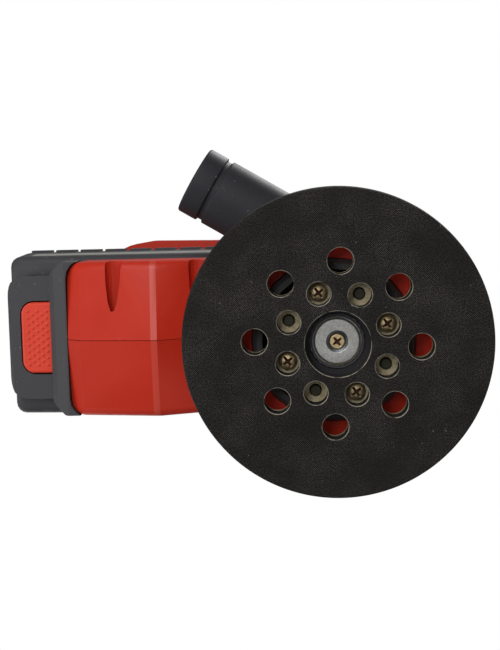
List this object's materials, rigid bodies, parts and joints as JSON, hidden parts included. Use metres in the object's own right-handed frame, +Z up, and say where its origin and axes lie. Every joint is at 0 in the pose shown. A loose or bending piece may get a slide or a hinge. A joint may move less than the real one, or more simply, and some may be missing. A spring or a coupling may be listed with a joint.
{
  "type": "orbital sander",
  "caption": "Cordless random-orbit palm sander with a round hook-faced pad, side dust outlet and slide-on battery.",
  "frame": {"origin": "middle of the tool's bounding box in plan, on the plane of the sanding face", "axes": "+Z up out of the pad, +X to the front of the tool with the battery towards -X, dust outlet towards -X and -Y"},
  "size_m": [0.203, 0.139, 0.137],
  "materials": {
    "red_housing": "moulded red plastic, satin",
    "red_latch": "bright red plastic",
    "dark_case": "dark grey textured plastic",
    "black_plastic": "black plastic",
    "rubber": "overmoulded rubber",
    "hook_facing": "black hook-and-loop facing",
    "foam": "black foam",
    "backing_plate": "cream fibre plate",
    "bright_steel": "ground steel",
    "dark_steel": "oiled steel",
    "gold_screw": "yellow passivated screws",
    "copper": "copper winding",
    "brass": "brass contacts",
    "board": "green circuit board",
    "label": "blank silver label",
    "cell_wrap": "heat-shrink cell wrap"
  },
  "bodies": {
    "housing": {"right_housing": "red_housing", "left_housing": "red_housing", "fan_shroud_ring": "red_housing", "pad_brake_ring": "rubber", "dust_port": "black_plastic", "palm_grip": "rubber", "rear_bumper": "rubber", "housing_screw_1": "dark_steel", "housing_screw_2": "dark_steel", "housing_screw_3": "dark_steel", "housing_screw_4": "dark_steel", "housing_screw_5": "dark_steel", "switch_module": "black_plastic", "controller_board": "board", "terminal_block": "brass", "stator_core": "dark_steel", "upper_winding": "copper", "lower_winding": "copper", "lower_bearing_outer_ring": "bright_steel", "upper_bearing_outer_ring": "bright_steel"},
    "rotor": {"motor_shaft": "bright_steel", "fan_impeller": "black_plastic", "counterweight": "dark_steel", "rotor_magnet": "dark_steel", "lower_bearing_inner_ring": "bright_steel", "upper_bearing_inner_ring": "bright_steel", "pad_bearing_inner_ring": "bright_steel", "retaining_washer": "bright_steel", "centre_screw": "gold_screw"},
    "pad": {"pad_hook_facing": "hook_facing", "pad_foam": "foam", "pad_backing_plate": "backing_plate", "pad_carrier": "black_plastic", "pad_screw_1": "gold_screw", "pad_screw_2": "gold_screw", "pad_screw_3": "gold_screw", "pad_screw_4": "gold_screw", "pad_bearing_outer_ring": "bright_steel", "pad_bearing_seal": "rubber"},
    "dial": {"speed_dial": "black_plastic"},
    "button": {"power_button": "black_plastic"},
    "battery": {"battery_rail_case": "dark_case", "battery_upper_case": "dark_case", "battery_board": "board", "battery_cell_1": "cell_wrap", "battery_cell_2": "cell_wrap", "battery_cell_3": "cell_wrap", "battery_cell_4": "cell_wrap", "battery_cell_5": "cell_wrap", "battery_cell_6": "cell_wrap", "battery_cell_7": "cell_wrap", "battery_cell_8": "cell_wrap", "battery_cell_9": "cell_wrap", "battery_cell_10": "cell_wrap", "right_label_plate": "label", "left_label_plate": "label", "latch_spring": "bright_steel"},
    "latch": {"battery_latch_button": "red_latch"}
  },
  "joints": [
    {"name": "shaft_spin", "type": "hinge", "parent": "housing", "child": "rotor", "pos_m": [0.03891, 0.00813, 0.05], "axis": [0, 0, 1], "continuous": true},
    {"name": "pad_spin", "type": "hinge", "parent": "rotor", "child": "pad", "pos_m": [0.04011, 0.00813, 0.016], "axis": [0, 0, 1], "continuous": true},
    {"name": "dial_turn", "type": "hinge", "parent": "housing", "child": "dial", "pos_m": [-0.03689, 0.00813, 0.1205], "axis": [0, 1, 0], "range_deg": [-120, 120]},
    {"name": "power_press", "type": "slide", "parent": "housing", "child": "button", "axis": [-1, 0, 0], "range_m": [0, 0.0016], "stiffness_N_per_m": 900},
    {"name": "battery_slide", "type": "slide", "parent": "housing", "child": "battery", "axis": [-0.9925, 0, 0.1219], "range_m": [0, 0.1]},
    {"name": "latch_press", "type": "slide", "parent": "battery", "child": "latch", "axis": [0.1219, 0, 0.9925], "range_m": [0, 0.0035], "stiffness_N_per_m": 600, "deforming": ["latch_spring"]}
  ]
}
